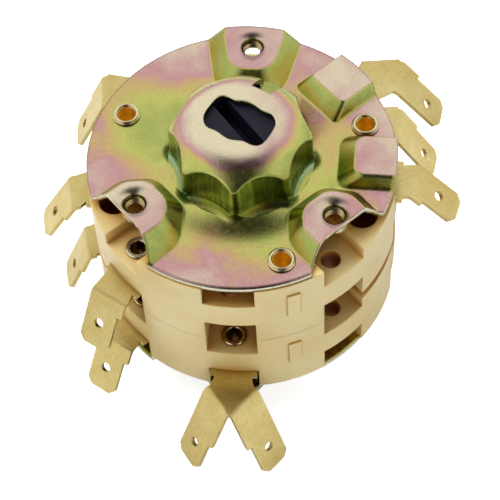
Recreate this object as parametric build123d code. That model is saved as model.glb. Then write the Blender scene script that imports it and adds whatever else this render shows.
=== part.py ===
"""Rotary ignition and lighting switch: the contact unit that sits behind a dashboard.

Two identical moulded contact decks are clamped between a pressed steel cover and a thin
steel bottom plate by three hollow rivets. Blade terminals are riveted to the webs of the
decks. A rotor with a key slot turns inside the eight-fluted boss of the cover and carries
three contact discs with bridges.

Millimetres, +Z up along the rotor axis, +Y towards the mounting pad that stands alone.
The origin is where that axis meets the plane of the three mounting pads.
"""
import os
from math import asin, cos, degrees, radians, sin, tan

from build123d import *

# Cover, pressed from sheet steel
COVER_R = 28.0
SHEET_T = 0.9
PAD_RISE = 2.8
WALL_SETBACK = 0.45
CUT_DEPTH = 3.7
SEAM_ANGLE = 180.0
LEVEL_TOLERANCE = 1e-4

# Fluted boss under its crown
BOSS_RISE = 10.9
BOSS_FLAT_R = 6.0
CROWN_R = 8.1
CROWN_EDGE = 0.5
BOSS_RIDGE_R = 13.5
BOSS_FLUTE_R = 11.25
FLUTES = 8
RIDGE_ROUND = 1.3
BOSS_FOOT = 1.8

# Pressed pockets and pads: (distance in from the rim, across) at the foot and at the top
BEYOND = -3.0
POCKET_RISE = 2.5
POCKET_FOOT = ((10.7, 5.6), (BEYOND, 5.6))
POCKET_TOP = ((7.6, 4.3), (BEYOND, 4.3))
POCKET_ANGLES = (0.0, 45.0)
POCKET_CORNERS = (2.2, 1.0)
POCKET_SHOULDERS = (0.7, 0.4)
LONE_PAD_FOOT = ((13.6, 6.2), (2.5, 8.6), (BEYOND, 8.9))
LONE_PAD_TOP = ((10.0, 3.8), (3.0, 5.4), (BEYOND, 5.6))
PAIR_PAD_FOOT = ((BEYOND, -10.3), (8.5, -10.3), (13.4, -6.5), (13.4, 1.8), (8.0, 7.2), (BEYOND, 7.6))
PAIR_PAD_TOP = ((BEYOND, -8.1), (7.7, -8.1), (11.1, -5.6), (11.1, 0.0), (7.7, 2.9), (BEYOND, 3.1))
RIGHT_PAD_FOOT = ((BEYOND, -10.3), (8.5, -10.3), (13.4, -6.5), (13.4, 1.8), (8.0, 5.8), (BEYOND, 6.2))
PAIR_PAD_ANGLE = 225.0
PAD_CORNER = 4.0
PAD_SHOULDER = 0.9
PAD_FOOT = 0.7

# Mounting screw holes, tapped in drawn collars
LONE_MOUNT_R = COVER_R - 5.0
LONE_MOUNT_ANGLE = 90.0
PAIR_MOUNT_R = COVER_R - 6.0
PAIR_MOUNT_ANGLES = (217.0, 323.0)
TAP_R = 1.75
TAP_LIP = 0.4
COLLAR_WALL = 0.75
COLLAR_DROP = 1.5

# Key opening in the cover, point-symmetric about the axis
KEY_OPENING = ((6.3, -1.0), (6.1, 0.9), (5.4, 1.8), (4.0, 2.4), (2.5, 3.5), (1.0, 4.2), (-1.1, 4.4),
               (-2.6, 5.1), (-3.9, 5.1), (-5.3, 3.4))

# Contact decks
DECK_PROUD = 0.2
DECK_R = COVER_R + DECK_PROUD
DECK_H = 16.5
TOP_NOTCH = 4.8
BOTTOM_NOTCH = 5.5
WINDOW_W = 9.2
WINDOWS = 8
RIM_DEPTH = 10.7
CHAMBER_R = DECK_R - RIM_DEPTH
HUB_BORE_R = 5.8
PIT_R = 2.8
PIT_DEPTH = 7.0
PIT_AT_R = DECK_R - 4.2
PIT_ANGLES = (202.5, 337.5)
STEP_DROP = 2.0
KEY_RIB_W = 2.4
KEY_RIB_H = 6.5
KEY_RIB_DROP = 3.0
KEY_RIB_PROUD = 0.35
KEY_RIB_ANGLE = 293.5

# Bottom plate
PLATE_INSET = 0.4
PLATE_R = DECK_R - PLATE_INSET
PLATE_T = 0.8
PLATE_DISH = 2.0
DISH_FLOOR = ((7.8, 4.3), (BEYOND, 4.3))
DISH_MOUTH = ((9.8, 5.3), (BEYOND, 5.3))
PLATE_DISH_ANGLES = (180.0, 225.0, 270.0)
JOURNAL_R = 2.8

# Hollow rivets
THROUGH_ANGLES = (160.0, 21.0, 292.5)
THROUGH_AT_R = COVER_R - 4.7
THROUGH_SHANK_R = 2.0
THROUGH_BORE_R = 1.6
THROUGH_FLARE_R = 2.5
TERMINAL_RIVET_AT_R = DECK_R - 4.0
TERMINAL_SHANK_R = 1.8
TERMINAL_BORE_R = 1.4
TERMINAL_FLARE_R = 2.3
FLARE_H = 0.5
FLARE_CHAMFER = 0.18
RIVET_FIT = 0.05

# Blade terminals, stamped from brass strip
BRASS_T = 0.8
BLADE_W = 6.35
BLADE_LENGTH = 8.0
BLADE_CHAMFER = 1.2
BLADE_HOLE_R = 0.95
NECK_W = 7.3
BEND_R = 0.7
TONGUE_W = 5.0
TONGUE_TIP_R = 11.0
ROOT_W = 8.7
EAR_OUT = 0.9
FORK_CORNER_OUT = 3.75
FORK_CORNER_SIDE = 4.8
FORK_CROTCH_OUT = 9.5
FORK_CROTCH_SIDE = 0.4

# Rotor and contact discs
ROTOR_HEAD_R = 9.4
ROTOR_NECK_R = 8.2
ROTOR_TOP_GAP = 0.3
ROTOR_CHAMFER = 1.4
KEY_SLOT_W = 2.7
KEY_SLOT_L = 13.0
KEY_SLOT_DEPTH = 5.0
KEY_SLOT_ANGLE = -50.0
SQUARE = 6.0
SQUARE_FIT = 0.05
RUNNING_FIT = 0.1
DISC_R = CHAMBER_R - 1.0
DISC_GAP = 0.2
CONTACT_GAP = 0.2
BRIDGE_T = 0.5
BRIDGE_R = (DISC_R - 5.7, DISC_R - 0.9)
PIP_R = 1.1
PIP_H = 0.8
BALL_R = 2.0
BALL_AT_R = 7.7
DETENT_ANGLE = 45.0
DETENT_RISE = 1.9
SPRING_WIRE_R = 0.3
SPRING_R = 1.45
SPRING_TURNS = 6

# Rotation from the position modelled, counter-clockwise positive
TURN_FORWARD = 45.0
TURN_BACK = 135.0
STOP_ANGLE = 63.5
STOP_W = 3.3
STOP_IN_R = 8.5
STOP_Z = 7.2
STOP_SLOPE = 0.6
STOP_SLACK = 1.0
SLIT_W = 0.7
NOTCH_IN_R = 7.9

# Levels, from the flange of the cover downwards
FLANGE_Z = -PAD_RISE
DECK_TOPS = (FLANGE_Z - SHEET_T, FLANGE_Z - SHEET_T - DECK_H)
PLATE_TOP = DECK_TOPS[1] - DECK_H
PLATE_BOTTOM = PLATE_TOP - PLATE_T
FLOORS = tuple(top - TOP_NOTCH for top in DECK_TOPS)
CEILINGS = tuple(top - DECK_H + BOTTOM_NOTCH for top in DECK_TOPS)


def polar(radius, angle, z=0.0):
    """A point at a radius and an angle in degrees about the rotor axis."""
    return Vector(radius * cos(radians(angle)), radius * sin(radians(angle)), z)


def turned(shape, angle):
    return shape.rotate(Axis.Z, angle)


def flat_distance(point):
    """How far a point is from the rotor axis."""
    return Vector(point.X, point.Y).length


def disc(radius, z_low, z_high):
    return extrude(Plane.XY.offset(z_low) * Circle(radius), z_high - z_low)


def block(x_low, x_high, y_low, y_high, z_low, z_high):
    corner = (x_low, y_low, z_low)
    return Pos(*corner) * Box(x_high - x_low, y_high - y_low, z_high - z_low, align=Align.MIN)


def flat_prism(points, z_low, z_high):
    face = make_face(Polyline(*points, close=True))
    return extrude(Pos(0, 0, z_low) * face, z_high - z_low)


def mirrored(points):
    """Half an outline above the X axis, completed with its mirror image below."""
    return list(points) + [(x, -y) for x, y in reversed(points)]


def from_rim(points, rim):
    """Outline points given by their distance in from a rim, as points along +X."""
    return [(rim - depth, across) for depth, across in points]


def rounded_outline(points, corner, setback, z):
    """A polygon with its corners inside the cover rounded, moved in by a setback."""
    face = make_face(Polyline(*points, close=True))
    limit = max(x for x, _ in points) - 1
    face = fillet([v for v in face.vertices() if v.X < limit], corner)
    if setback > 0:
        face = offset(face, -setback)
    return Pos(0, 0, z) * face


def pressed(foot, top, corner, shoulder, z_foot, z_top, inset):
    """A form drawn from the sheet between two outlines, or its inside when inset."""
    setback = WALL_SETBACK * inset
    low = rounded_outline(foot, corner, setback, z_foot - inset)
    high = rounded_outline(top, corner, setback, z_top - inset)
    body = loft([low, high])
    if shoulder > inset:
        body = fillet(body.faces().sort_by(Axis.Z)[-1].edges(), shoulder)
    return body


# Cover

def boss_form(inset):
    """The fluted boss under its crown, or its inside when inset."""
    ridge, flute = BOSS_RIDGE_R - inset, BOSS_FLUTE_R - inset
    pitch = 360.0 / FLUTES
    arcs = []
    for k in range(FLUTES):
        start, middle, end = k * pitch, (k + 0.5) * pitch, (k + 1) * pitch
        arcs.append(ThreePointArc(polar(ridge, start), polar(flute, middle), polar(ridge, end)))
    outline = make_face(Wire(arcs))
    outline = fillet(outline.vertices(), RIDGE_ROUND)
    column = extrude(Pos(0, 0, FLANGE_Z - inset) * outline, BOSS_RISE)
    top, bend = FLANGE_Z + BOSS_RISE - inset, CROWN_R - inset
    brim = BOSS_FLAT_R + bend
    middle = (BOSS_FLAT_R + bend * sin(radians(45)), 0, top - bend + bend * cos(radians(45)))
    crown = ThreePointArc((brim, 0, top - bend), middle, (BOSS_FLAT_R, 0, top))
    base = FLANGE_Z - 2
    sides = Polyline((BOSS_FLAT_R, 0, top), (0, 0, top), (0, 0, base), (brim, 0, base),
                     (brim, 0, top - bend))
    return column & revolve(make_face([crown, sides]), Axis.Z)


def filleted_boss():
    """The outside of the boss on its disc of flange, with the crown's edge and the foot rounded."""
    boss = boss_form(0)
    upper = [e for e in boss.edges() if (e @ 0.5).Z > FLANGE_Z + BOSS_RISE / 2]
    boss = fillet([e for e in upper if e.geom_type == GeomType.BSPLINE], CROWN_EDGE)
    body = disc(COVER_R, FLANGE_Z - SHEET_T, FLANGE_Z) + boss
    return fillet(foot_edges(body, COVER_R - 1), BOSS_FOOT)


def on_flange(edge):
    """Whether an edge lies on the flange's upper face."""
    return all(abs(point.Z - FLANGE_Z) < LEVEL_TOLERANCE for point in (edge @ 0, edge @ 0.5, edge @ 1))


def foot_edges(body, reach):
    """The edges of a raised form where it meets the flange, within a reach of the axis."""
    level = body.edges().filter_by(on_flange)
    return [e for e in level if flat_distance(e @ 0.5) < reach]


def edge_cut():
    """The piece cut from the rim beside a pair pad, about +X."""
    depth = CUT_DEPTH
    points = ((-2, -11.4), (depth - 1.3, -10.9), (depth, -9.6), (depth, 1.2), (depth - 0.9, 4.2),
              (depth - 2.3, 6.6), (-2, 7.6))
    return flat_prism(from_rim(points, COVER_R), FLANGE_Z - 5, 2)


def key_opening():
    points = [Vector(x, y) for x, y in KEY_OPENING] + [Vector(-x, -y) for x, y in KEY_OPENING]
    outline = make_face(Spline(*points, periodic=True))
    return extrude(Pos(0, 0, FLANGE_Z + BOSS_RISE - 2) * outline, 4)


def mount_places():
    places = [(LONE_MOUNT_R, LONE_MOUNT_ANGLE)]
    return places + [(PAIR_MOUNT_R, angle) for angle in PAIR_MOUNT_ANGLES]


def raised_forms(inset):
    """The pockets and pads where they stand, or their insides when inset."""
    forms = []
    foot, top = mirrored(from_rim(POCKET_FOOT, COVER_R)), mirrored(from_rim(POCKET_TOP, COVER_R))
    for angle, corner, shoulder in zip(POCKET_ANGLES, POCKET_CORNERS, POCKET_SHOULDERS):
        pocket = pressed(foot, top, corner, shoulder, FLANGE_Z, FLANGE_Z + POCKET_RISE, inset)
        forms.append(turned(pocket, angle))
    foot, top = mirrored(from_rim(LONE_PAD_FOOT, COVER_R)), mirrored(from_rim(LONE_PAD_TOP, COVER_R))
    lone = pressed(foot, top, PAD_CORNER, PAD_SHOULDER, FLANGE_Z, 0, inset)
    forms.append(turned(lone, LONE_MOUNT_ANGLE))
    top = from_rim(PAIR_PAD_TOP, COVER_R)
    left = pressed(from_rim(PAIR_PAD_FOOT, COVER_R), top, PAD_CORNER, PAD_SHOULDER, FLANGE_Z, 0, inset)
    right = pressed(from_rim(RIGHT_PAD_FOOT, COVER_R), top, PAD_CORNER, PAD_SHOULDER, FLANGE_Z, 0, inset)
    forms.append(turned(left, PAIR_PAD_ANGLE))
    forms.append(mirror(turned(right, PAIR_PAD_ANGLE), about=Plane.YZ))
    return forms


def stop_tab():
    """The tab lanced from the shoulder of the boss and bent down, along +X."""
    inner, outer = STOP_IN_R, BOSS_FLUTE_R - SHEET_T / 2
    low = FLANGE_Z + STOP_Z
    end = low + STOP_SLOPE
    profile = [(inner, low), (outer, end), (outer, end + SHEET_T), (inner, low + SHEET_T)]
    face = make_face(Polyline(*[(x, 0, z) for x, z in profile], close=True))
    return extrude(face, STOP_W / 2, both=True)


def stop_notch():
    """The opening over the stop tab, with a slit on one side of the tab."""
    inner, outer = NOTCH_IN_R, BOSS_RIDGE_R + 1
    low = FLANGE_Z + STOP_Z + SHEET_T - 0.05
    high = FLANGE_Z + BOSS_RISE + 1
    rise = STOP_SLOPE * (outer - STOP_IN_R) / (BOSS_FLUTE_R - SHEET_T / 2 - STOP_IN_R)
    profile = [(inner, low), (STOP_IN_R, low), (outer, low + rise), (outer, high), (inner, high)]
    face = make_face(Polyline(*[(x, 0, z) for x, z in profile], close=True))
    notch = Pos(0, SLIT_W / 2, 0) * extrude(face, (STOP_W + SLIT_W) / 2, both=True)
    slit_end = BOSS_FLUTE_R + 0.5
    slit = block(inner, slit_end, STOP_W / 2, STOP_W / 2 + SLIT_W, low - SHEET_T, high)
    return notch + slit


def cover_plate():
    rim = turned(disc(COVER_R, FLANGE_Z - SHEET_T, PAD_RISE), SEAM_ANGLE)
    flange = turned(disc(COVER_R, FLANGE_Z - SHEET_T, FLANGE_Z), SEAM_ANGLE)
    plate = filleted_boss() - key_opening() - turned(stop_notch(), STOP_ANGLE)
    for form in raised_forms(0):
        body = flange + (form & rim)
        plate += fillet(foot_edges(body, COVER_R - 0.05), PAD_FOOT)
    inner = boss_form(SHEET_T)
    for form in raised_forms(SHEET_T):
        inner += form
    plate -= inner
    left_cut = turned(edge_cut(), PAIR_PAD_ANGLE)
    plate -= left_cut
    plate -= mirror(left_cut, about=Plane.YZ)
    plate += turned(stop_tab(), STOP_ANGLE)
    for radius, angle in mount_places():
        place = Location(polar(radius, angle))
        plate += place * disc(TAP_R + COLLAR_WALL, -SHEET_T - COLLAR_DROP, -SHEET_T / 2)
        plate -= place * disc(TAP_R, -SHEET_T - COLLAR_DROP - 1, 1)
        plate -= place * Pos(0, 0, -TAP_LIP / 2) * Cone(TAP_R, TAP_R + TAP_LIP, TAP_LIP)
    for angle in THROUGH_ANGLES:
        hole = disc(THROUGH_SHANK_R + RIVET_FIT, FLANGE_Z - 2, FLANGE_Z + 1)
        plate -= Location(polar(THROUGH_AT_R, angle)) * hole
    return plate


# Contact decks

def window_angles():
    return [k * 360.0 / WINDOWS for k in range(WINDOWS)]


def contact_deck(top):
    bottom, floor, ceiling = top - DECK_H, top - TOP_NOTCH, top - DECK_H + BOTTOM_NOTCH
    deck = disc(DECK_R, bottom, top)
    deck -= disc(CHAMBER_R, floor, top)
    deck -= disc(CHAMBER_R, bottom, ceiling)
    deck -= disc(HUB_BORE_R, bottom, top)
    half = WINDOW_W / 2
    notches = block(0, DECK_R + 2, -half, half, floor, top)
    notches += block(0, DECK_R + 2, -half, half, bottom, ceiling)
    rivet_hole = Pos(TERMINAL_RIVET_AT_R, 0, 0) * disc(TERMINAL_SHANK_R + RIVET_FIT, bottom, top)
    for angle in window_angles():
        deck -= turned(notches, angle)
        deck -= turned(rivet_hole, angle)
    for angle in PIT_ANGLES:
        step = block(CHAMBER_R - 1, DECK_R + 2, -8, 8, top - STEP_DROP, top)
        deck -= turned(step, angle)
        deck -= Location(polar(PIT_AT_R, angle)) * disc(PIT_R, top - PIT_DEPTH, top)
    for angle in THROUGH_ANGLES:
        hole = disc(THROUGH_SHANK_R + RIVET_FIT, bottom, top)
        deck -= Location(polar(THROUGH_AT_R, angle)) * hole
    rib = block(DECK_R - 1, DECK_R + KEY_RIB_PROUD, -KEY_RIB_W / 2, KEY_RIB_W / 2,
                top - KEY_RIB_DROP - KEY_RIB_H, top - KEY_RIB_DROP)
    return deck + turned(rib, KEY_RIB_ANGLE)


# Bottom plate

def plate_dish_form(inset):
    """A pocket pressed downwards along +X, or its inside when inset."""
    setback = WALL_SETBACK * inset
    floor_z = PLATE_BOTTOM - PLATE_DISH + inset
    floor = mirrored(from_rim(DISH_FLOOR, PLATE_R))
    mouth = mirrored(from_rim(DISH_MOUTH, PLATE_R))
    corner = POCKET_CORNERS[1]
    return loft([rounded_outline(floor, corner, setback, floor_z),
                 rounded_outline(mouth, corner, setback, PLATE_BOTTOM + inset)])


def bottom_plate():
    rim = disc(PLATE_R, PLATE_BOTTOM - PLATE_DISH, PLATE_TOP)
    plate = disc(PLATE_R, PLATE_BOTTOM, PLATE_TOP)
    for angle in PLATE_DISH_ANGLES:
        plate += turned(plate_dish_form(0), angle) & rim
    for angle in PLATE_DISH_ANGLES:
        plate -= turned(plate_dish_form(PLATE_T), angle)
    plate -= disc(JOURNAL_R + RUNNING_FIT, PLATE_BOTTOM - 1, PLATE_TOP + 1)
    for angle in THROUGH_ANGLES:
        hole = disc(THROUGH_SHANK_R + RIVET_FIT, PLATE_BOTTOM - 1, PLATE_TOP + 1)
        plate -= Location(polar(THROUGH_AT_R, angle)) * hole
    return plate


# Hollow rivets

def eyelet(shank, bore, flare, z_low, z_high):
    """A hollow rivet whose flares sit on the faces at z_low and z_high."""
    body = disc(shank, z_low, z_high)
    body += disc(flare, z_high, z_high + FLARE_H)
    body += disc(flare, z_low - FLARE_H, z_low)
    body -= disc(bore, z_low - 1, z_high + 1)
    rims = body.edges().filter_by(GeomType.CIRCLE).group_by(Axis.Z)
    return chamfer(rims[0] + rims[-1], FLARE_CHAMFER)


def through_rivets():
    rivet = eyelet(THROUGH_SHANK_R, THROUGH_BORE_R, THROUGH_FLARE_R, PLATE_BOTTOM, FLANGE_Z)
    return [Location(polar(THROUGH_AT_R, angle)) * rivet for angle in THROUGH_ANGLES]


def terminal_rivet(deck, above, angle):
    """The rivet of a terminal that lies on top of a deck's web, or under it."""
    low = CEILINGS[deck] - (0 if above else BRASS_T)
    high = FLOORS[deck] + (BRASS_T if above else 0)
    rivet = eyelet(TERMINAL_SHANK_R, TERMINAL_BORE_R, TERMINAL_FLARE_R, low, high)
    return Location(polar(TERMINAL_RIVET_AT_R, angle)) * rivet


# Blade terminals, built along +X and turned to their window

def bent_blade(out, side, skew, tilt, length, eye_up, step, z_mid):
    """A blade bent down from a fold line centred at (out, side).

    skew turns the fold line in plan, tilt leans the blade outwards from the vertical, eye_up
    is how far its hole is from the tip, and step says which edge of the neck has the
    shoulder, +1 or -1 along the fold line.
    """
    fold = Vector(sin(radians(skew)), cos(radians(skew)), 0)
    ahead = Vector(cos(radians(skew)), -sin(radians(skew)), 0)
    down = ahead * sin(radians(tilt)) - Vector(0, 0, 1) * cos(radians(tilt))
    origin = Vector(out, side, z_mid)
    turn = radians(90 - tilt)
    half = BRASS_T / 2
    corner = half * tan(turn / 2)
    run = (BEND_R + BRASS_T) * tan(turn / 2) + 0.4
    ahead_2d = Vector(cos(turn), -sin(turn))
    out_2d = Vector(sin(turn), cos(turn))
    outer_end = ahead_2d * length + out_2d * half
    inner_end = ahead_2d * length - out_2d * half
    profile = make_face(Polyline((-run, half), (corner, half), outer_end, inner_end, (-corner, -half),
                                 (-run, -half), close=True))
    near_outer = profile.vertices().sort_by_distance((corner, half, 0))[0]
    profile = fillet(near_outer, BEND_R + BRASS_T)
    near_inner = profile.vertices().sort_by_distance((-corner, -half, 0))[0]
    profile = fillet(near_inner, BEND_R)
    strip = extrude(Plane(origin, x_dir=ahead, z_dir=fold * -1) * profile, NECK_W / 2, both=True)
    blade_plane = Plane(origin, x_dir=fold, z_dir=fold.cross(down))
    near, far = -NECK_W / 2, -NECK_W / 2 + BLADE_W
    shoulder, cut = length - BLADE_LENGTH, BLADE_CHAMFER
    outline = [(near, shoulder), (far, shoulder), (far, length - cut), (far - cut, length),
               (near + cut, length), (near, length - cut)]
    kept = make_face(Polyline(*[(u * step, v) for u, v in outline], close=True))
    around = Pos(0, shoulder + BLADE_LENGTH / 2 + 1) * Rectangle(NECK_W + 2, BLADE_LENGTH + 2)
    strip -= extrude(blade_plane * (around - kept), BRASS_T, both=True)
    eye = Pos(step * (near + far) / 2, length - eye_up) * Circle(BLADE_HOLE_R)
    strip -= extrude(blade_plane * eye, BRASS_T, both=True)
    setback = run - 0.4
    edge = [origin + fold * (s * NECK_W / 2) - ahead * setback for s in (-1, 1)]
    return strip, [(point.X, point.Y) for point in edge]


def root_outline():
    """Half the root: contact tongue, riveted land as wide as the window, and the ear."""
    wall = DECK_R + EAR_OUT
    return [(TONGUE_TIP_R, TONGUE_W / 2 - 0.8), (TONGUE_TIP_R + 0.8, TONGUE_W / 2), (19.8, TONGUE_W / 2),
            (21.4, ROOT_W / 2), (wall, ROOT_W / 2), (wall, NECK_W / 2 - 0.1)]


def single_terminal(z_low, out, side, skew, tilt, length, step):
    """A terminal with one blade straight out of its window."""
    z_mid = z_low + BRASS_T / 2
    blade, edge = bent_blade(DECK_R + out, side, skew, tilt, length, 5.0, step, z_mid)
    half = root_outline()
    outline = [(x, -y) for x, y in half] + edge + list(reversed(half))
    root = flat_prism(outline, z_low, z_low + BRASS_T)
    return drilled(root + blade, z_low)


def fork_terminal(z_low, sides, out, side, tilt, length, eye_up):
    """A forked terminal with a blade folded down along one or both slanting edges.

    sides is (1,), (-1,) or (-1, 1), with +1 counter-clockwise; out and side shift the fork.
    """
    z_mid = z_low + BRASS_T / 2
    corner = Vector(DECK_R + FORK_CORNER_OUT + out, FORK_CORNER_SIDE)
    crotch = Vector(DECK_R + FORK_CROTCH_OUT + out, FORK_CROTCH_SIDE)
    middle = (corner + crotch) / 2
    skew = degrees(asin((crotch.X - corner.X) / (crotch - corner).length))
    blades = []
    edges = {}
    for hand in (-1, 1):
        edges[hand] = [(crotch.X, side + hand * crotch.Y), (corner.X, side + hand * corner.Y)]
    for hand in sides:
        middle_side = side + hand * middle.Y
        blade, edge = bent_blade(middle.X, middle_side, -hand * skew, tilt, length, eye_up, -hand, z_mid)
        blades.append(blade)
        edges[hand] = edge if hand > 0 else list(reversed(edge))
    half = root_outline() + [(DECK_R + 1.7, NECK_W / 2 - 0.1)]
    lower = [(x, -y) for x, y in half] + list(reversed(edges[-1]))
    outline = lower + edges[1] + list(reversed(half))
    root = flat_prism(outline, z_low, z_low + BRASS_T)
    for blade in blades:
        root += blade
    return drilled(root, z_low)


def drilled(terminal, z_low):
    hole = disc(TERMINAL_SHANK_R + RIVET_FIT, z_low - 1, z_low + BRASS_T + 1)
    return terminal - Pos(TERMINAL_RIVET_AT_R, 0, 0) * hole


def terminals():
    """Node name, window angle, deck, above the web or not, and the shape along +X."""
    def level(deck, above):
        return FLOORS[deck] if above else CEILINGS[deck] - BRASS_T

    def single(deck, above, out, side, skew, tilt, length, step=1):
        return single_terminal(level(deck, above), out, side, skew, tilt, length, step)

    def fork(deck, above, sides, out, side, tilt, length, eye_up=4.3):
        return fork_terminal(level(deck, above), sides, out, side, tilt, length, eye_up)

    return [
        ("terminal_000_a", 0, 0, True, single(0, True, 3.2, 0.1, 12, 49, 10.4, step=-1)),
        ("terminal_045_a", 45, 0, True, fork(0, True, (-1,), 1.4, 0.1, 41, 12.5)),
        ("terminal_045_b", 45, 1, True, fork(1, True, (-1,), 2.4, 1.0, 35, 13.6)),
        ("terminal_135_b", 135, 0, False, fork(0, False, (1,), 1.6, 2.2, 26, 14.4)),
        ("terminal_180_b", 180, 0, False, single(0, False, 3.7, 1.5, -13, 32, 11.9)),
        ("terminal_180_c", 180, 1, False, single(1, False, 2.6, 1.7, -14, 23, 13.0)),
        ("terminal_225_b", 225, 0, False, single(0, False, 4.3, 1.1, -16, 31, 10.7)),
        ("terminal_225_c", 225, 1, False, single(1, False, 4.3, 0.7, -15, 31, 11.0)),
        ("terminal_270_c", 270, 1, False, fork(1, False, (-1, 1), 0.0, 0.0, 23.5, 17.0, eye_up=5.0)),
    ]


# Rotor, contact discs, bridges and detent

def rotor():
    """The driver: key slot and stop lug at the top, square shaft and journal below."""
    top = FLANGE_Z + BOSS_RISE - SHEET_T - ROTOR_TOP_GAP
    collar = FLANGE_Z + STOP_Z - 0.3
    bottom = DECK_TOPS[0] - DISC_GAP
    head = disc(ROTOR_HEAD_R, bottom, collar)
    neck = disc(ROTOR_NECK_R, collar, top)
    neck = chamfer(neck.edges().group_by(Axis.Z)[-1], ROTOR_CHAMFER / 2)
    body = head + neck
    half_tab = degrees(asin(STOP_W / 2 / STOP_IN_R))
    lug_start = STOP_ANGLE + half_tab + TURN_BACK + STOP_SLACK
    lug_end = STOP_ANGLE - half_tab - TURN_FORWARD - STOP_SLACK + 360
    lug = sector(ROTOR_NECK_R - 0.5, ROTOR_HEAD_R, lug_start, lug_end, collar, collar + 1.4)
    body += lug
    slot = Pos(0, 0, top - KEY_SLOT_DEPTH) * Box(KEY_SLOT_L, KEY_SLOT_W, KEY_SLOT_DEPTH + 1,
                                                 align=(Align.CENTER, Align.CENTER, Align.MIN))
    body -= turned(slot, KEY_SLOT_ANGLE)
    shaft_end = PLATE_TOP + 0.3
    body += block(-SQUARE / 2, SQUARE / 2, -SQUARE / 2, SQUARE / 2, shaft_end, bottom)
    body += disc(JOURNAL_R, PLATE_BOTTOM - 0.3, shaft_end)
    bore = Plane(polar(-15, DETENT_ANGLE, FLANGE_Z + DETENT_RISE), z_dir=polar(1, DETENT_ANGLE))
    return body - extrude(bore * Circle(BALL_R + RUNNING_FIT), 30)


def sector(r_in, r_out, start, end, z_low, z_high):
    middle = (start + end) / 2
    outer = ThreePointArc(polar(r_out, start), polar(r_out, middle), polar(r_out, end))
    inner = ThreePointArc(polar(r_in, end), polar(r_in, middle), polar(r_in, start))
    sides = [Line(polar(r_out, end), polar(r_in, end)), Line(polar(r_in, start), polar(r_out, start))]
    face = make_face([outer, sides[0], inner, sides[1]])
    return extrude(Pos(0, 0, z_low) * face, z_high - z_low)


def contact_disc(z_low, z_high, hub_low, hub_high):
    """An insulating disc with hubs that run in the deck bores, square inside."""
    body = disc(DISC_R, z_low, z_high) + disc(HUB_BORE_R - RUNNING_FIT, hub_low, hub_high)
    size = SQUARE / 2 + SQUARE_FIT
    return body - block(-size, size, -size, size, hub_low - 1, hub_high + 1)


def bridge(start, end, z_face, up):
    """A contact bridge on a disc face, with a pip near each end."""
    way = 1 if up else -1
    z_far = z_face + way * BRIDGE_T
    z_pip = z_far + way * PIP_H
    r_in, r_out = BRIDGE_R
    body = sector(r_in, r_out, start, end, min(z_face, z_far), max(z_face, z_far))
    for angle in (start + 8, end - 8):
        pip = disc(PIP_R, min(z_far, z_pip), max(z_far, z_pip))
        body += Location(polar((r_in + r_out) / 2, angle)) * pip
    return body


def detent_balls():
    ball = Sphere(BALL_R)
    height = FLANGE_Z + DETENT_RISE
    return [Location(polar(BALL_AT_R, DETENT_ANGLE + turn, height)) * ball for turn in (0, 180)]


def detent_spring():
    length = 2 * (BALL_AT_R - BALL_R) - 2 * SPRING_WIRE_R - 0.1
    path = Helix(length / SPRING_TURNS, length, SPRING_R)
    wire = sweep(Plane(path @ 0, z_dir=path % 0) * Circle(SPRING_WIRE_R), path=path)
    place = Plane(polar(-length / 2, DETENT_ANGLE, FLANGE_Z + DETENT_RISE), z_dir=polar(1, DETENT_ANGLE))
    return place * wire


def moving_parts():
    web_middles = [(floor + ceiling) / 2 for floor, ceiling in zip(FLOORS, CEILINGS)]
    reach = BRIDGE_T + PIP_H + CONTACT_GAP
    top_face = DECK_TOPS[0] - DISC_GAP
    top_low = FLOORS[0] + BRASS_T + reach
    mid_high = CEILINGS[0] - BRASS_T - reach
    mid_low = FLOORS[1] + BRASS_T + reach
    low_high = CEILINGS[1] - BRASS_T - reach
    low_face = PLATE_TOP + DISC_GAP
    return {
        "rotor": rotor(),
        "contact_disc_top": contact_disc(top_low, top_face, web_middles[0], top_face),
        "contact_disc_middle": contact_disc(mid_low, mid_high, web_middles[1], web_middles[0]),
        "contact_disc_bottom": contact_disc(low_face, low_high, low_face, web_middles[1]),
        "contact_bridge_a": bridge(-20, 70, top_low, False),
        "contact_bridge_b": bridge(110, 250, mid_high, True),
        "contact_bridge_c": bridge(20, 120, mid_low, False),
        "contact_bridge_d": bridge(160, 290, low_high, True),
        "detent_balls": detent_balls(),
        "detent_spring": detent_spring(),
    }


def write(name, shape):
    solids = shape if isinstance(shape, list) else [shape]
    body = Compound(children=[solid for item in solids for solid in item.solids()])
    export_step(body, f"parts/{name}.step")


def main():
    os.makedirs("parts", exist_ok=True)
    write("cover_plate", cover_plate())
    write("upper_deck", contact_deck(DECK_TOPS[0]))
    write("lower_deck", contact_deck(DECK_TOPS[1]))
    write("bottom_plate", bottom_plate())
    write("through_rivets", through_rivets())
    rivets = []
    for name, angle, deck, above, shape in terminals():
        write(name, turned(shape, angle))
        rivets.append(terminal_rivet(deck, above, angle))
    write("terminal_rivets", rivets)
    for name, shape in moving_parts().items():
        write(name, shape)


main()
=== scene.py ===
"""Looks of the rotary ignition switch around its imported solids. Metres, +Z along the rotor axis."""

from math import cos, pi, radians, sin

import bpy
from mathutils import Matrix, Vector


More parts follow.
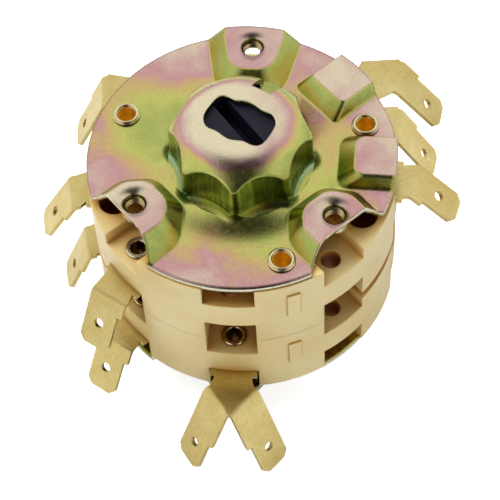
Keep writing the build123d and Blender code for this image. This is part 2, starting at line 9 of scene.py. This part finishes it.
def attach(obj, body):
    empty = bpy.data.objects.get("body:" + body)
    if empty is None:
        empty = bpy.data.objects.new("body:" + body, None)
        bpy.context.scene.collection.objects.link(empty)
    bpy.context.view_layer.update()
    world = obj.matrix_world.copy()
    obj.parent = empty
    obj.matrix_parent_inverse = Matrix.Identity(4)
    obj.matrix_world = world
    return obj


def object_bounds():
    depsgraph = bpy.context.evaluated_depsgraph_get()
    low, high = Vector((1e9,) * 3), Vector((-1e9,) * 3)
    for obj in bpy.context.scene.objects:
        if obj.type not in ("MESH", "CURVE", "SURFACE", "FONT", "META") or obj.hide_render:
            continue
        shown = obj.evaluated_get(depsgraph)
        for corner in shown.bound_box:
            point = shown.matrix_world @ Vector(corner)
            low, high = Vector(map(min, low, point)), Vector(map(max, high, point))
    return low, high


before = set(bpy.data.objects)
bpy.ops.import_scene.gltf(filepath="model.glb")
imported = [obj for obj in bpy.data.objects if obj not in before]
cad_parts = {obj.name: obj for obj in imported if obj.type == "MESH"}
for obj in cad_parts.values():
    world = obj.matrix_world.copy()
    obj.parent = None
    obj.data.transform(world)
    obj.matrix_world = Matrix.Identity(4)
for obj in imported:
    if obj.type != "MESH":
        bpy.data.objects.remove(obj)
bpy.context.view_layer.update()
MM = 0.001

# The photograph's camera, measured from the flange of the cover
PAD_RISE = 2.8 * MM
COVER_R = 28.0 * MM
CAMERA_AZIMUTH = 8.254
CAMERA_ELEVATION = 57.164
CAMERA_ROLL = -3.735
CAMERA_DISTANCE = 12.0 * COVER_R
CAMERA_RIGHT = 0.0532483 * COVER_R
CAMERA_UP = -0.5976837 * COVER_R
FOCAL_PIXELS = 1869.506
PHOTO_PIXELS = 500
SENSOR = 36.0
CLIP_START = 0.01

# The tent's light on matt surfaces, and its dark strip by how far a ray points sideways and ahead
AMBIENT = 0.5
STRIP_HALF = 0.42
STRIP_BLUR = 0.16
STRIP_FRONT = (-0.32, 0.04)
STRIP_DEPTH = 0.96

# The floor, which glows for the camera alone so that it looks white
FLOOR_SIZE = 3.0
FLOOR_GAP = 0.2 * MM
FLOOR_GREY = 0.86
FLOOR_ROUGH = 0.9
FLOOR_GLOW = 0.75

# Area lights: name, place, target, size, power in watts
LIGHTS = (
    ("key", (-0.22, 0.05, 0.42), (0, 0, 0), (0.4, 0.4), 2.4),
    ("back", (0.3, 0.3, 0.3), (0, 0, 0), (0.4, 0.3), 1.2),
    ("front", (0.1, -0.5, 0.16), (0, 0, -0.02), (0.5, 0.25), 0.9),
)

# Nodes by material; the rest are black moulding
STEEL_NODES = ("cover_plate", "bottom_plate")
DECK_NODES = ("upper_deck", "lower_deck")
RIVET_NODES = ("through_rivets", "terminal_rivets")
BRASS_STARTS = ("terminal", "contact_bridge")
SPRING_STARTS = ("detent",)

# Rivets and tapped holes: distance from the axis and angle
RIVET_ANGLES = (160.0, 21.0, 292.5)
RIVET_AT_R = 23.3 * MM
BORE_R = 1.65 * MM
TAPPED_HOLES = ((23.0 * MM, 90.0), (22.0 * MM, 217.0), (22.0 * MM, 323.0))
TAPPED_R = 2.0 * MM

# The thread's ridge, with half its foot as a share of the pitch
THREAD_PITCH = 0.7 * MM
THREAD_ROOT_R = 1.78 * MM
THREAD_CREST_R = 1.48 * MM
THREAD_HALF_FOOT = 0.3
THREAD_Z = (-2.15 * MM, -0.55 * MM)
THREAD_STEPS = 40

# The roll on a rivet's flare
FLARE_TOP = -2.3 * MM
FLARE_ROLL_R = 2.0 * MM
FLARE_ROLL = 0.27 * MM
FLARE_AROUND = 64
FLARE_SECTION = 16

# Relief of the pressed sheet: where each form starts and is full, and its height
DRAW_IN = (20.6 * MM, 13.2 * MM, 2.3 * MM)
RIM_ROLL = (27.1 * MM, 28.0 * MM, -0.22 * MM)
HOLE_DISH = (4.4 * MM, 1.9 * MM, -0.95 * MM)
GRAIN_RELIEF = 0.018 * MM
DRAW_MARK_RELIEF = 0.08 * MM

# The bent tab beside the slit of the crown
STOP_TAB_ANGLE = 63.5
STOP_TAB_R = (8.3 * MM, 11.4 * MM)
STOP_TAB_HALF = 1.75 * MM
STOP_TAB_TOP = 6.2 * MM

# Bands: a value's start and end, and what it becomes there, which is 0 and 1 if not stated
NOISE_MIDDLE = (0.3, 0.7)
FLANGE_BY_HEIGHT = (-2.6 * MM, -0.4 * MM, 1.0, 0.0)
CROWN_BY_HEIGHT = (0.0, 2.0 * MM)
UPRIGHT_BY_TILT = (0.12, 0.2, 1.0, 0.0)
PAST_BOSS_BY_REACH = (14.5 * MM, 15.0 * MM)
FLUTE_BY_TILT = (0.5, 0.2)
FLUTE_BY_REACH = (14.2 * MM, 13.8 * MM)
# Where the painted glint at the foot of the boss lies
FOOT_BY_HEIGHT = ((-2.7 * MM, -2.3 * MM), (-0.8 * MM, -1.4 * MM))
FOOT_BY_REACH = (15.6 * MM, 15.0 * MM)
FOOT_BY_SIDE = (6.0 * MM, 12.0 * MM, 0.0, 0.65)

# Bands that add up to the thickness of the chromate film, and its colours from thin to thick
FILM_FROM_RIM = (27.5 * MM, 18.0 * MM, 0.07, 0.26)
FILM_TILTED = (0.985, 0.82)
FILM_TILTED_BY_HEIGHT = (0.0, 2.0 * MM, 0.42, 0.33)
FILM_STEEP = (0.8, 0.1, 0.0, 0.05)
FILM_HIGH_UP = (1.0 * MM, 6.2 * MM, 0.0, -0.16)
FILM_FROM_KEY = (3.0 * MM, 12.0 * MM, 0.06, 0.2)
FILM_RIGHTWARDS = (-12.0 * MM, 12.0 * MM, -0.03, 0.12)
FILM_BELOW_CROWN = (0.0, 2.0 * MM, 0.1, 0.0)
FILM_BOTTOM_PLATE = (-10.0 * MM, -30.0 * MM, 0.0, 0.2)
FILM_STAINS = (0.25, 0.75, -0.13, 0.19)
# Thicker film on the bent tab, partly real and partly painted shade below the crown's edge
STOP_TAB_FILM_AND_SHADE = 0.3
FILM_COLOURS = (
    (0.0, (230, 218, 184)), (0.12, (216, 190, 172)), (0.24, (202, 154, 154)),
    (0.34, (208, 178, 120)), (0.45, (196, 198, 108)), (0.57, (166, 176, 96)),
    (0.7, (168, 148, 62)), (0.86, (112, 128, 48)), (1.0, (140, 100, 42)),
)

# Other colours of the steel, as 0-255 screen values, and how much of the film's colour they cover
CUT_EDGE = (222, 220, 196)
# A painted glint at the foot of the boss
FOOT_PAINTED_GLINT = (158, 204, 168)
DRAW_MARK_COLOURS = ((0.3, (92, 108, 40)), (0.5, (152, 176, 80)), (0.7, (208, 216, 132)))
DRAW_MARK_COVER = 0.8
DRAW_MARK_SQUEEZE = 0.06
# Painted shade on the walls of the tapped holes, and how much of the film's colour it covers
HOLE_PAINTED_SHADE = (84, 70, 40)
HOLE_SHADE_COVER = 0.85
GRAIN_SHADE = (0.88, 1.04)
STEEL_ROUGH = (0.2, 0.3)
STEEL_EDGE_R = 0.6 * MM
THREAD_COLOURS = ((206, 186, 138), (170, 146, 92))
THREAD_ROUGH = (0.25, 0.35)

# Cream moulding: its colours, then where the open sky dims enough for painted amber shade, for painted
# brown shade and for no shine
CREAM_COLOURS = ((220, 202, 146), (208, 184, 122))
CREAM_CLOUDS = (0.35, 0.65)
CREAM_ROUGH = (0.3, 0.42)
CREAM_EDGE_R = 0.4 * MM
RECESS_REACH = 8.0 * MM
PAINTED_AMBER_SHADE = (198, 148, 70)
RECESS_AMBER_SKY = (0.85, 0.5)
PAINTED_BROWN_SHADE = (152, 82, 26)
RECESS_BROWN_SKY = (0.46, 0.12)
RECESS_SHINE = (0.85, 0.35, 0.5, 0.05)
SUBSURFACE = 0.35
SUBSURFACE_COLOURS = (1.0, 0.62, 0.25)
SUBSURFACE_DEPTH = 1.4 * MM

# Brass: tarnish in the grain, painted shade in recesses, and the painted glow in the bores of the
# through rivets
BRASS_SQUEEZE = 0.25
BRASS_GRAIN = (150, 124, 66)
BRASS_GRAIN_COVER = (0.5, 0.68, 0.0, 0.3)
BRASS_ROUGH_SPREAD = 0.06
BRASS_PAINTED_SHADE = (118, 74, 26)
BRASS_SHADE_REACH = 6.0 * MM
BORE_METAL = (190, 150, 60)
BORE_ROUGH = 0.35
# Colours of the painted glow in the bores, and the side that gets a painted highlight
BORE_GLOW_COLOURS = ((0.0, (70, 46, 6)), (0.45, (150, 108, 10)), (0.9, (226, 176, 66)))
BORE_GLOW = 0.7
BORE_LIT_FROM = (0.6, 0.8, 0.0)
BORE_LIT_SIDE = (-0.6, 1.0, 0.0, 0.75)
BORE_STREAKS = (-0.1, 0.25)

# The rotor's and discs' moulding, and the spring and balls
BLACK_COLOURS = ((12, 12, 22), (26, 26, 38))
BLACK_ROUGH = (0.35, 0.5)
BLACK_SHINE = 0.2
BLACK_EDGE_R = 0.2 * MM
SPRING_COLOUR = (170, 170, 172)
SPRING_ROUGH = (0.2, 0.34)

# Quality of the nodes that cast rays
BEVEL_SAMPLES = 6
OPEN_SKY_SAMPLES = 8


def srgb(red, green, blue):
    """Linear colour from 0-255 screen values."""
    def channel(value):
        value /= 255
        return value / 12.92 if value <= 0.04045 else ((value + 0.055) / 1.055) ** 2.4
    return (channel(red), channel(green), channel(blue), 1.0)


def grey(value):
    return (value, value, value, 1.0)


def polar(radius, angle):
    return Vector((radius * cos(radians(angle)), radius * sin(radians(angle))))


class Graph:
    """A node tree with short calls for the nodes used here."""

    def __init__(self, tree):
        self.tree = tree

    def feed(self, socket, value):
        """Links the input to a socket, or gives it a plain value."""
        if isinstance(value, bpy.types.NodeSocket):
            self.tree.links.new(value, socket)
        else:
            socket.default_value = value

    def add(self, kind, inputs=None, **settings):
        """A node with its settings, and with its inputs fed."""
        node = self.tree.nodes.new(kind)
        for key, value in settings.items():
            setattr(node, key, value)
        for key, value in (inputs or {}).items():
            self.feed(node.inputs[key], value)
        return node

    def math(self, operation, a, b=0.0):
        return self.add("ShaderNodeMath", {0: a, 1: b}, operation=operation).outputs[0]

    def total(self, first, *others):
        for other in others:
            first = self.math("ADD", first, other)
        return first

    def product(self, first, *others):
        for other in others:
            first = self.math("MULTIPLY", first, other)
        return first

    def dot(self, a, b):
        return self.add("ShaderNodeVectorMath", {0: a, 1: b}, operation="DOT_PRODUCT").outputs["Value"]

    def span(self, value, low, high, to_low=0.0, to_high=1.0):
        """The value mapped from one range to another, and held at its ends."""
        ends = {"From Min": low, "From Max": high, "To Min": to_low, "To Max": to_high}
        return self.add("ShaderNodeMapRange", {"Value": value, **ends}).outputs["Result"]

    def vary(self, noise, low=0.0, high=1.0):
        """A value that goes from low to high over the middle of a noise's range."""
        return self.span(noise, *NOISE_MIDDLE, low, high)


class Surface(Graph):
    """A new material and its node tree."""

    def __init__(self, name):
        self.material = bpy.data.materials.new(name)
        self.material.use_nodes = True
        super().__init__(self.material.node_tree)
        self.shader = self.tree.nodes["Principled BSDF"]
        self.output = self.tree.nodes["Material Output"]

    def set(self, **values):
        for key, value in values.items():
            self.feed(self.shader.inputs[key.replace("_", " ")], value)

    def place(self):
        return self.add("ShaderNodeTexCoord").outputs["Object"]

    def drawn_out(self, squeeze):
        """The place with its height squeezed, so that a texture is drawn out along the axis."""
        return self.add("ShaderNodeMapping", {
            "Vector": self.place(), "Scale": (1.0, 1.0, squeeze)}).outputs["Vector"]

    def noise(self, scale, detail, rough, vector=None, distortion=0.0):
        return self.add("ShaderNodeTexNoise", {
            "Vector": vector or self.place(), "Scale": scale, "Detail": detail, "Roughness": rough,
            "Distortion": distortion}).outputs["Fac"]

    def open_sky(self, distance):
        """1 where nothing is near, less in a recess."""
        return self.add("ShaderNodeAmbientOcclusion", {"Distance": distance},
                        samples=OPEN_SKY_SAMPLES).outputs["AO"]

    def ramp(self, value, stops):
        """A colour for the value, from stops of a position and 0-255 screen values."""
        node = self.add("ShaderNodeValToRGB", {"Fac": value})
        elements = node.color_ramp.elements
        while len(elements) < len(stops):
            elements.new(0.5)
        for element, (position, colour) in zip(elements, stops):
            element.position = position
            element.color = srgb(*colour)
        return node.outputs["Color"]

    def mix(self, factor, a, b, blend="MIX"):
        return self.add("ShaderNodeMix", {0: factor, 6: a, 7: b},
                        data_type="RGBA", blend_type=blend).outputs[2]

    def cloudy(self, noise, colours):
        """Two colours, given as 0-255 screen values, mixed by a noise."""
        light, dark = colours
        return self.mix(self.vary(noise), srgb(*light), srgb(*dark))

    def bump(self, height, strength, distance, edge=0.0):
        """Relief of a height, over edges that look rounded by a radius."""
        node = self.add("ShaderNodeBump", {"Height": height, "Strength": strength, "Distance": distance})
        if edge:
            rounded = self.add("ShaderNodeBevel", {"Radius": edge}, samples=BEVEL_SAMPLES)
            self.feed(node.inputs["Normal"], rounded.outputs["Normal"])
        self.set(Normal=node.outputs["Normal"])


def flat_distance(g, spot, centre=(0.0, 0.0)):
    """Distance from a vertical axis, in plan."""
    east = g.math("SUBTRACT", spot["X"], centre[0])
    north = g.math("SUBTRACT", spot["Y"], centre[1])
    return g.math("SQRT", g.total(g.product(east, east), g.product(north, north)))


def on_stop_tab(g, spot):
    """1 on the bent tab beside the slit of the crown, else 0."""
    turn = radians(STOP_TAB_ANGLE)
    along = g.total(g.product(spot["X"], cos(turn)), g.product(spot["Y"], sin(turn)))
    across = g.total(g.product(spot["Y"], cos(turn)), g.product(spot["X"], -sin(turn)))
    inner, outer = STOP_TAB_R
    return g.product(
        g.math("GREATER_THAN", along, inner),
        g.math("LESS_THAN", along, outer),
        g.math("LESS_THAN", g.math("ABSOLUTE", across), STOP_TAB_HALF),
        g.math("LESS_THAN", spot["Z"], STOP_TAB_TOP))


def hole_distance(g, spot):
    """Distance in plan to the nearest tapped hole of the pads."""
    distances = [flat_distance(g, spot, polar(radius, angle)) for radius, angle in TAPPED_HOLES]
    near = distances.pop()
    for distance in distances:
        near = g.math("MINIMUM", near, distance)
    return near


def soft_step(g, value, start, end, depth):
    """Height in millimetres that grows with the square of the way from start to end."""
    way = g.span(value, start, end)
    return g.product(way, way, depth / MM)


def chromate_film(g, spot, slope, reach):
    """How thick the film is: thin on the crown and pads, thicker inwards on the flange and on walls."""
    height = spot["Z"]
    outwards = g.span(reach, *FILM_FROM_KEY)
    rightwards = g.span(spot["X"], *FILM_RIGHTWARDS)
    cloud = g.noise(scale=75.0, detail=3.0, rough=0.5, distortion=0.6)
    drift = g.noise(scale=34.0, detail=2.0, rough=0.5, distortion=0.4)
    return g.total(
        g.product(g.span(height, *FLANGE_BY_HEIGHT), g.span(reach, *FILM_FROM_RIM)),
        g.product(g.span(slope, *FILM_TILTED), g.span(height, *FILM_TILTED_BY_HEIGHT)),
        g.span(slope, *FILM_STEEP),
        g.span(height, *FILM_HIGH_UP),
        g.product(g.total(outwards, rightwards), g.span(height, *CROWN_BY_HEIGHT)),
        g.span(height, *FILM_BELOW_CROWN),
        g.span(height, *FILM_BOTTOM_PLATE),
        g.span(cloud, *FILM_STAINS),
        g.span(drift, *FILM_STAINS),
        # Thicker film on the bent tab, which also darkens it as painted shade below the crown's edge
        g.product(on_stop_tab(g, spot), STOP_TAB_FILM_AND_SHADE))


def chromate_steel():
    """Yellow zinc chromate: silvery on high faces, mauve to straw on the flange, green on walls."""
    g = Surface("chromate_steel")
    normal = g.add("ShaderNodeNewGeometry").outputs["Normal"]
    slope = g.add("ShaderNodeSeparateXYZ", {0: normal}).outputs["Z"]
    spot = g.add("ShaderNodeSeparateXYZ", {0: g.place()}).outputs
    reach = flat_distance(g, spot)
    colour = g.ramp(chromate_film(g, spot, slope, reach), FILM_COLOURS)

    # Bare cut edges, and a painted pale-green glint at the foot of the boss on both sides
    upright = g.span(g.math("ABSOLUTE", slope), *UPRIGHT_BY_TILT)
    cut_edge = g.product(upright, g.span(reach, *PAST_BOSS_BY_REACH))
    colour = g.mix(cut_edge, colour, srgb(*CUT_EDGE))
    foot_glint = g.product(
        *(g.span(spot["Z"], *band) for band in FOOT_BY_HEIGHT),
        g.span(reach, *FOOT_BY_REACH),
        g.span(g.math("ABSOLUTE", spot["X"]), *FOOT_BY_SIDE))
    colour = g.mix(foot_glint, colour, srgb(*FOOT_PAINTED_GLINT))

    # Draw marks down the flutes
    marks = g.noise(scale=900.0, detail=3.0, rough=0.6, vector=g.drawn_out(DRAW_MARK_SQUEEZE))
    flute = g.product(g.span(slope, *FLUTE_BY_TILT), g.span(reach, *FLUTE_BY_REACH))
    colour = g.mix(g.product(flute, DRAW_MARK_COVER), colour, g.ramp(marks, DRAW_MARK_COLOURS))

    # Painted shade on the walls of the tapped holes, and grain all over
    near_hole = hole_distance(g, spot)
    inside_hole = g.math("LESS_THAN", near_hole, TAPPED_R)
    colour = g.mix(g.product(inside_hole, HOLE_SHADE_COVER), colour, srgb(*HOLE_PAINTED_SHADE))
    grain = g.noise(scale=2600.0, detail=3.0, rough=0.6)
    colour = g.mix(1.0, colour, g.vary(grain, *GRAIN_SHADE), "MULTIPLY")
    g.set(Base_Color=colour, Metallic=1.0, Roughness=g.vary(marks, *STEEL_ROUGH))

    # Relief in millimetres: draw-in round the boss, rolled rim, dished holes, grain and draw marks
    relief = g.total(
        soft_step(g, reach, *DRAW_IN),
        soft_step(g, reach, *RIM_ROLL),
        soft_step(g, near_hole, *HOLE_DISH),
        g.product(grain, GRAIN_RELIEF / MM),
        g.product(flute, marks, DRAW_MARK_RELIEF / MM))
    g.bump(relief, strength=1.0, distance=MM, edge=STEEL_EDGE_R)
    return g.material


def thread_steel():
    g = Surface("thread_steel")
    grain = g.noise(scale=2000.0, detail=3.0, rough=0.6)
    g.set(Base_Color=g.cloudy(grain, THREAD_COLOURS), Metallic=1.0,
          Roughness=g.vary(grain, *THREAD_ROUGH))
    return g.material


def cream_moulding():
    """Cream moulding compound, with painted shade: darker and redder where light has to find its way
    into a recess.
    """
    g = Surface("cream_moulding")
    cloud = g.noise(scale=60.0, detail=3.0, rough=0.5)
    open_sky = g.open_sky(RECESS_REACH)
    light, dark = CREAM_COLOURS
    colour = g.mix(g.span(cloud, *CREAM_CLOUDS), srgb(*light), srgb(*dark))
    # Painted shade: amber, then brown, where the open sky dims in a recess
    colour = g.mix(g.span(open_sky, *RECESS_AMBER_SKY), colour, srgb(*PAINTED_AMBER_SHADE))
    colour = g.mix(g.span(open_sky, *RECESS_BROWN_SKY), colour, srgb(*PAINTED_BROWN_SHADE))
    g.set(Base_Color=colour, Roughness=g.vary(cloud, *CREAM_ROUGH),
          Specular_IOR_Level=g.span(open_sky, *RECESS_SHINE), Subsurface_Weight=SUBSURFACE,
          Subsurface_Radius=SUBSURFACE_COLOURS, Subsurface_Scale=SUBSURFACE_DEPTH)
    specks = g.noise(scale=1500.0, detail=3.0, rough=0.6)
    g.bump(specks, strength=0.08, distance=0.1 * MM, edge=CREAM_EDGE_R)
    return g.material


def brass(name, colours, rough, edge, shade_sky):
    """Brass with painted shade in a recess, where the open sky dims through a given band."""
    g = Surface(name)
    cloud = g.noise(scale=90.0, detail=4.0, rough=0.6)
    grain = g.noise(scale=2400.0, detail=4.0, rough=0.7, vector=g.drawn_out(BRASS_SQUEEZE))
    colour = g.mix(g.span(grain, *BRASS_GRAIN_COVER), g.cloudy(cloud, colours), srgb(*BRASS_GRAIN))
    # Painted shade in recesses
    colour = g.mix(g.span(g.open_sky(BRASS_SHADE_REACH), *shade_sky), colour, srgb(*BRASS_PAINTED_SHADE))
    g.set(Base_Color=colour, Metallic=1.0,
          Roughness=g.vary(grain, rough - BRASS_ROUGH_SPREAD, rough + BRASS_ROUGH_SPREAD))
    g.bump(grain, strength=0.15, distance=0.05 * MM, edge=edge)
    return g.material


def bore_painted_glow():
    """The inside of a hollow rivet, with a painted glow and a painted highlight for light that comes up
    the tube and is reflected many times.
    """
    g = Surface("bore_painted_glow")
    streak = g.noise(scale=700.0, detail=3.0, rough=0.6)
    normal = g.add("ShaderNodeNewGeometry").outputs["Normal"]
    # Painted highlight on the side that faces a fixed direction, in a painted glow
    lit_side = g.span(g.dot(normal, BORE_LIT_FROM), *BORE_LIT_SIDE)
    glow = g.ramp(g.total(lit_side, g.vary(streak, *BORE_STREAKS)), BORE_GLOW_COLOURS)
    g.set(Base_Color=srgb(*BORE_METAL), Metallic=1.0, Roughness=BORE_ROUGH, Emission_Color=glow,
          Emission_Strength=BORE_GLOW)
    return g.material


def black_moulding():
    g = Surface("black_moulding")
    cloud = g.noise(scale=120.0, detail=4.0, rough=0.6)
    g.set(Base_Color=g.cloudy(cloud, BLACK_COLOURS), Roughness=g.vary(cloud, *BLACK_ROUGH),
          Specular_IOR_Level=BLACK_SHINE)
    specks = g.noise(scale=1200.0, detail=3.0, rough=0.6)
    g.bump(specks, strength=0.1, distance=0.1 * MM, edge=BLACK_EDGE_R)
    return g.material


def spring_steel():
    g = Surface("spring_steel")
    grain = g.noise(scale=900.0, detail=3.0, rough=0.6)
    g.set(Base_Color=srgb(*SPRING_COLOUR), Metallic=1.0, Roughness=g.vary(grain, *SPRING_ROUGH))
    g.bump(grain, strength=0.05, distance=0.1 * MM)
    return g.material


def dress_bores(node, centres, radius):
    """A second material, with a painted glow, on the inside of hollow rivets."""
    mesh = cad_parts[node].data
    mesh.materials.append(bore_painted_glow())
    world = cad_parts[node].matrix_world
    for face in mesh.polygons:
        middle = world @ face.center
        if min((middle.xy - centre).length for centre in centres) < radius:
            face.material_index = 1


def dress_all():
    """A material on every solid. Returns the rivets' brass, for the rolled flares."""
    steel = chromate_steel()
    cream = cream_moulding()
    strip = brass("terminal_brass", colours=((222, 206, 144), (200, 176, 104)), rough=0.32,
                  edge=0.15 * MM, shade_sky=(0.6, 0.25))
    rivet = brass("rivet_brass", colours=((236, 226, 186), (222, 204, 146)), rough=0.22,
                  edge=0.1 * MM, shade_sky=(0.82, 0.45))
    black = black_moulding()
    spring = spring_steel()
    for node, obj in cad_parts.items():
        if node in STEEL_NODES:
            material = steel
        elif node in DECK_NODES:
            material = cream
        elif node in RIVET_NODES:
            material = rivet
        elif node.startswith(BRASS_STARTS):
            material = strip
        elif node.startswith(SPRING_STARTS):
            material = spring
        else:
            material = black
        obj.data.materials.clear()
        obj.data.materials.append(material)
    dress_bores("through_rivets", [polar(RIVET_AT_R, angle) for angle in RIVET_ANGLES], BORE_R)
    return rivet


def add_piece(name, verts, faces, material, smooth):
    mesh = bpy.data.meshes.new(name)
    mesh.from_pydata(verts, [], faces)
    mesh.materials.append(material)
    mesh.polygons.foreach_set("use_smooth", [smooth] * len(mesh.polygons))
    piece = bpy.data.objects.new(name, mesh)
    bpy.context.scene.collection.objects.link(piece)
    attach(piece, "housing")


def add_thread(name, centre, steel):
    """The ridge of a screw thread, a triangle swept along a helix in a tapped hole."""
    bottom, top = THREAD_Z
    count = round((top - bottom) / THREAD_PITCH * THREAD_STEPS)
    half = THREAD_HALF_FOOT * THREAD_PITCH
    triangle = ((THREAD_ROOT_R, -half), (THREAD_CREST_R, 0.0), (THREAD_ROOT_R, half))
    verts, faces = [], []
    for k in range(count + 1):
        angle = 2 * pi * k / THREAD_STEPS
        middle = bottom + THREAD_PITCH * k / THREAD_STEPS
        for radius, rise in triangle:
            verts.append((centre.x + radius * cos(angle), centre.y + radius * sin(angle), middle + rise))
    for base in range(0, 3 * count, 3):
        for a, b in ((0, 1), (1, 2), (2, 0)):
            faces.append((base + a, base + b, base + 3 + b, base + 3 + a))
    faces.append((0, 2, 1))
    faces.append((3 * count, 3 * count + 1, 3 * count + 2))
    add_piece(name, verts, faces, steel, False)


def add_rolled_flare(name, centre, rivet):
    """The rolled edge on top of a hollow rivet's flare, a ring of round section."""
    verts, faces = [], []
    for k in range(FLARE_AROUND):
        angle = 2 * pi * k / FLARE_AROUND
        for i in range(FLARE_SECTION):
            tilt = 2 * pi * i / FLARE_SECTION
            radius = FLARE_ROLL_R + FLARE_ROLL * cos(tilt)
            verts.append((centre.x + radius * cos(angle), centre.y + radius * sin(angle),
                          FLARE_TOP + FLARE_ROLL * sin(tilt)))
    for k in range(FLARE_AROUND):
        here, ahead = k * FLARE_SECTION, (k + 1) % FLARE_AROUND * FLARE_SECTION
        for i in range(FLARE_SECTION):
            above = (i + 1) % FLARE_SECTION
            faces.append((here + i, ahead + i, ahead + above, here + above))
    add_piece(name, verts, faces, rivet, True)


def add_details(rivet):
    steel = thread_steel()
    for k, (radius, angle) in enumerate(TAPPED_HOLES):
        add_thread(f"screw_thread_{k}", polar(radius, angle), steel)
    for k, angle in enumerate(RIVET_ANGLES):
        add_rolled_flare(f"rolled_flare_{k}", polar(RIVET_AT_R, angle), rivet)


def camera_axes():
    """The camera's right, up and backward directions."""
    azimuth, elevation, roll = (radians(a) for a in (CAMERA_AZIMUTH, CAMERA_ELEVATION, CAMERA_ROLL))
    back = Vector((sin(azimuth) * cos(elevation), -cos(azimuth) * cos(elevation), sin(elevation)))
    level = Vector((cos(azimuth), sin(azimuth), 0.0))
    upright = back.cross(level)
    right = cos(roll) * level + sin(roll) * upright
    up = -sin(roll) * level + cos(roll) * upright
    return right, up, back


def add_camera():
    right, up, back = camera_axes()
    data = bpy.data.cameras.new("camera")
    data.sensor_width = SENSOR
    data.sensor_fit = "HORIZONTAL"
    data.lens = FOCAL_PIXELS / PHOTO_PIXELS * SENSOR
    data.clip_start = CLIP_START
    camera = bpy.data.objects.new("camera", data)
    spot = CAMERA_DISTANCE * back + CAMERA_RIGHT * right + CAMERA_UP * up - Vector((0, 0, PAD_RISE))
    turn = Matrix((right, up, back)).transposed().to_4x4()
    camera.matrix_world = Matrix.Translation(spot) @ turn
    bpy.context.scene.collection.objects.link(camera)
    bpy.context.scene.camera = camera


def add_light(name, place, target, size, power):
    data = bpy.data.lights.new(name, "AREA")
    data.shape = "RECTANGLE"
    data.size, data.size_y = size
    data.energy = power
    light = bpy.data.objects.new(name, data)
    light.location = place
    light.rotation_euler = (Vector(target) - Vector(place)).to_track_quat("-Z", "Y").to_euler()
    light.visible_glossy = False
    bpy.context.scene.collection.objects.link(light)


def add_world():
    """A white tent with a dark strip in front of the object. The camera itself sees only white."""
    world = bpy.data.worlds.new("studio")
    world.use_nodes = True
    bpy.context.scene.world = world
    g = Graph(world.node_tree)
    way = g.add("ShaderNodeTexCoord").outputs["Generated"]
    turn = radians(CAMERA_AZIMUTH)
    across = g.math("ABSOLUTE", g.dot(way, (cos(turn), sin(turn), 0.0)))
    ahead = g.dot(way, (sin(turn), -cos(turn), 0.0))
    strip = g.product(g.span(across, STRIP_HALF + STRIP_BLUR, STRIP_HALF - STRIP_BLUR),
                      g.span(ahead, *STRIP_FRONT, 0.0, STRIP_DEPTH))
    path = g.add("ShaderNodeLightPath").outputs
    reflected = g.math("MAXIMUM", path["Is Glossy Ray"], path["Is Transmission Ray"])
    level = g.span(reflected, 0.0, 1.0, AMBIENT, 1.0)
    lit = g.product(level, g.math("SUBTRACT", 1.0, strip))
    background = g.tree.nodes["Background"].inputs
    g.feed(background["Strength"], g.math("MAXIMUM", lit, path["Is Camera Ray"]))
    g.feed(background["Color"], grey(1.0))


def add_floor():
    """A grey floor under the object that looks white to the camera."""
    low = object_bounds()[0][2]
    bpy.ops.mesh.primitive_plane_add(size=FLOOR_SIZE, location=(0, 0, low - FLOOR_GAP))
    floor = bpy.context.object
    floor.name = "floor"
    g = Surface("floor")
    g.set(Base_Color=grey(FLOOR_GREY), Roughness=FLOOR_ROUGH)
    seen = g.add("ShaderNodeLightPath").outputs["Is Camera Ray"]
    white = g.add("ShaderNodeEmission", {"Color": grey(1.0), "Strength": g.product(seen, FLOOR_GLOW)})
    total = g.add("ShaderNodeAddShader", {0: g.shader.outputs[0], 1: white.outputs[0]})
    g.feed(g.output.inputs["Surface"], total.outputs[0])
    floor.data.materials.append(g.material)


bpy.context.scene.view_settings.view_transform = "Standard"
add_details(dress_all())
add_camera()
add_world()
add_floor()
for light in LIGHTS:
    add_light(*light)
